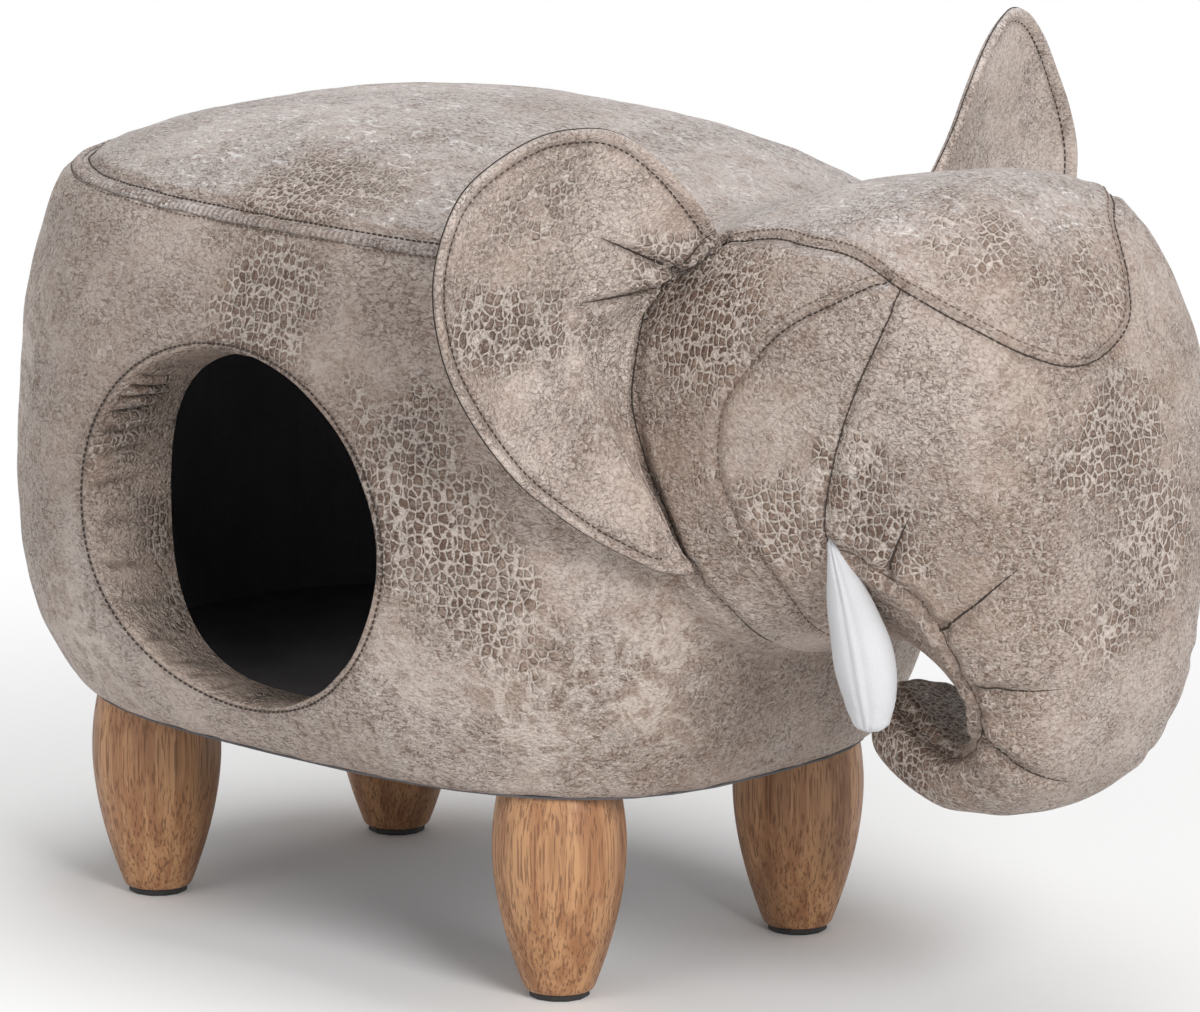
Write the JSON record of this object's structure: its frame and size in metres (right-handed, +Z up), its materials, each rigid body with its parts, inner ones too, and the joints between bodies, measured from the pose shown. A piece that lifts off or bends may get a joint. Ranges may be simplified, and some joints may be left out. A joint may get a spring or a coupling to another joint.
{
  "type": "upholstered elephant pouf",
  "caption": "Elephant-shaped upholstered stool with a lined pet cabin behind a round side doorway, soft hinged ears, cloth tusks, a curled trunk and turned wooden screw-in legs.",
  "frame": {"origin": "centre of the bounding box on the floor", "axes": "+X towards the trunk, +Y to the animal's left, +Z up"},
  "size_m": [0.6683, 0.4314, 0.4448],
  "materials": {
    "plywood": "raw",
    "black_lining": "matt non-woven cloth",
    "foam": "open-cell foam and fibre",
    "taupe_leather": "worn, scaly grain, satin",
    "brown_wood": "satin oil",
    "black_plastic": "moulded",
    "zinc_steel": "zinc plated",
    "white_tusk_cloth": "matt coated cloth"
  },
  "bodies": {
    "pouf_body": {"base_board": "plywood", "seat_board": "plywood", "wall_panel_left": "plywood", "wall_panel_right": "plywood", "joint_batten_front": "plywood", "joint_batten_rear": "plywood", "dust_cover": "black_lining", "floor_pad": "black_lining", "wall_lining": "black_lining", "ceiling_lining": "black_lining", "wall_foam_left": "foam", "wall_foam_right": "foam", "seat_foam": "foam", "head_filling": "foam", "trunk_filling": "foam", "side_cover": "taupe_leather", "seat_cover": "taupe_leather", "doorway_collar": "taupe_leather", "head_cover": "taupe_leather", "trunk_cover": "taupe_leather", "threaded_insert_front_right": "zinc_steel", "threaded_insert_front_left": "zinc_steel", "threaded_insert_rear_right": "zinc_steel", "threaded_insert_rear_left": "zinc_steel", "tusk_right": "white_tusk_cloth", "tusk_left": "white_tusk_cloth"},
    "ear_right_body": {"ear_front_panel_right": "taupe_leather", "ear_back_panel_right": "taupe_leather", "ear_core_right": "foam"},
    "ear_left_body": {"ear_front_panel_left": "taupe_leather", "ear_back_panel_left": "taupe_leather", "ear_core_left": "foam"},
    "leg_front_right_body": {"leg_front_right": "brown_wood", "glide_front_right": "black_plastic", "hanger_bolt_front_right": "zinc_steel"},
    "leg_front_left_body": {"leg_front_left": "brown_wood", "glide_front_left": "black_plastic", "hanger_bolt_front_left": "zinc_steel"},
    "leg_rear_right_body": {"leg_rear_right": "brown_wood", "glide_rear_right": "black_plastic", "hanger_bolt_rear_right": "zinc_steel"},
    "leg_rear_left_body": {"leg_rear_left": "brown_wood", "glide_rear_left": "black_plastic", "hanger_bolt_rear_left": "zinc_steel"}
  },
  "joints": [
    {"name": "ear_right_flap", "type": "hinge", "parent": "pouf_body", "child": "ear_right_body", "pos_m": [0.1275, -0.1054, 0.3], "axis": [0, 0, 1], "range_deg": [-5, 30], "stiffness_Nm_per_rad": 0.4},
    {"name": "ear_left_flap", "type": "hinge", "parent": "pouf_body", "child": "ear_left_body", "pos_m": [0.1275, 0.1054, 0.3], "axis": [0, 0, -1], "range_deg": [-5, 30], "stiffness_Nm_per_rad": 0.4},
    {"name": "leg_front_right_unscrew", "type": "hinge", "parent": "pouf_body", "child": "leg_front_right_body", "pos_m": [0.043, -0.0845, 0.1045], "axis": [0, 0, -1], "range_deg": [0, 360]},
    {"name": "leg_front_left_unscrew", "type": "hinge", "parent": "pouf_body", "child": "leg_front_left_body", "pos_m": [0.043, 0.0845, 0.1045], "axis": [0, 0, -1], "range_deg": [0, 360]},
    {"name": "leg_rear_right_unscrew", "type": "hinge", "parent": "pouf_body", "child": "leg_rear_right_body", "pos_m": [-0.24, -0.0845, 0.1045], "axis": [0, 0, -1], "range_deg": [0, 360]},
    {"name": "leg_rear_left_unscrew", "type": "hinge", "parent": "pouf_body", "child": "leg_rear_left_body", "pos_m": [-0.24, 0.0845, 0.1045], "axis": [0, 0, -1], "range_deg": [0, 360]}
  ]
}
